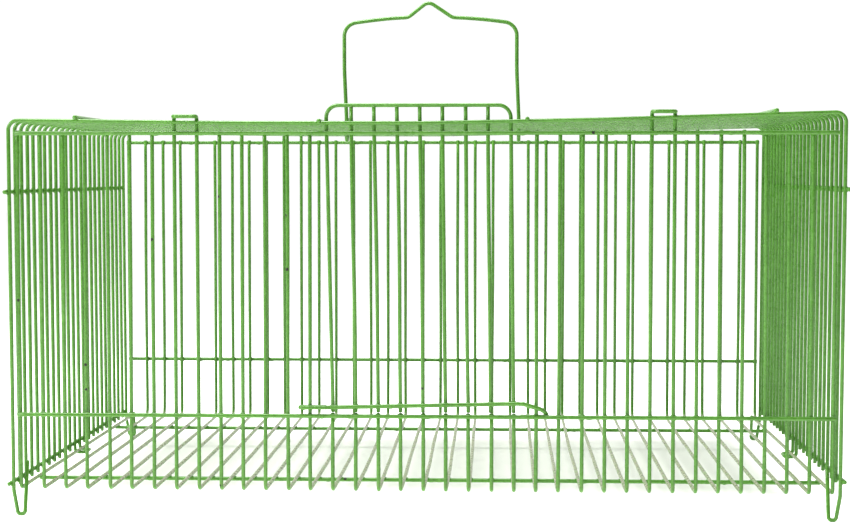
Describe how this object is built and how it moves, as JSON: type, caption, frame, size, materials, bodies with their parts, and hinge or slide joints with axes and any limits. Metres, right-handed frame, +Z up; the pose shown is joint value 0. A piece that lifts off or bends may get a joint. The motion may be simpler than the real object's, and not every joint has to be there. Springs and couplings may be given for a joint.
{
  "type": "wire bird cage",
  "caption": "Low wire bird cage made of a basket and a clipped-on cover, with a lift-up front door, hairpin feet and a folding carrying handle on the roof.",
  "frame": {"origin": "middle of the base plane that the four wire feet stand on", "axes": "+X along the cage to the right seen from the door, +Y from the door to the rear wall, +Z up"},
  "size_m": [0.4724, 0.308, 0.3028],
  "materials": {
    "green_enamel": "gloss green enamel over steel wire, thick at the welds, with small dark chips"
  },
  "bodies": {
    "cage": {"basket_bar_00": "green_enamel", "basket_bar_01": "green_enamel", "basket_bar_02": "green_enamel", "basket_bar_03": "green_enamel", "basket_bar_04": "green_enamel", "basket_bar_05": "green_enamel", "basket_bar_06": "green_enamel", "basket_bar_11": "green_enamel", "basket_bar_12": "green_enamel", "basket_bar_13": "green_enamel", "basket_bar_23": "green_enamel", "basket_bar_24": "green_enamel", "basket_bar_25": "green_enamel", "basket_bar_30": "green_enamel", "basket_bar_31": "green_enamel", "basket_bar_32": "green_enamel", "basket_bar_33": "green_enamel", "basket_bar_34": "green_enamel", "basket_bar_35": "green_enamel", "basket_bar_36": "green_enamel", "cover_bars_1": "green_enamel", "cover_bars_2": "green_enamel", "cover_bars_3": "green_enamel", "cover_bars_4": "green_enamel", "cover_front_wire": "green_enamel", "cover_rear_wire": "green_enamel", "cover_ring_wire": "green_enamel", "front_floor_rail": "green_enamel", "front_hook_wire_left": "green_enamel", "front_hook_wire_right": "green_enamel", "front_low_rail": "green_enamel", "front_top_rail": "green_enamel", "left_end_rail_lower": "green_enamel", "left_end_rail_upper": "green_enamel", "rear_floor_rail": "green_enamel", "rear_hook_wire_left": "green_enamel", "rear_hook_wire_right": "green_enamel", "rear_low_rail": "green_enamel", "rear_top_rail": "green_enamel", "right_end_rail_lower": "green_enamel", "right_end_rail_upper": "green_enamel", "roof_rail_left_inner": "green_enamel", "roof_rail_left_outer": "green_enamel", "roof_rail_right_inner": "green_enamel", "roof_rail_right_outer": "green_enamel", "sill_bar_14": "green_enamel", "sill_bar_15": "green_enamel", "sill_bar_16": "green_enamel", "sill_bar_17": "green_enamel", "sill_bar_18": "green_enamel", "sill_bar_19": "green_enamel", "sill_bar_20": "green_enamel", "sill_bar_21": "green_enamel", "sill_bar_22": "green_enamel"},
    "door": {"door_arch": "green_enamel", "door_bars": "green_enamel", "door_slide_wire": "green_enamel"},
    "handle": {"carry_handle": "green_enamel"}
  },
  "joints": [
    {"name": "door_lift", "type": "slide", "parent": "cage", "child": "door", "axis": [0, 0, 1], "range_m": [0, 0.148]},
    {"name": "handle_fold", "type": "hinge", "parent": "cage", "child": "handle", "pos_m": [0, -0.00654, 0.22157], "axis": [1, 0, 0], "range_deg": [-88, 64]}
  ]
}
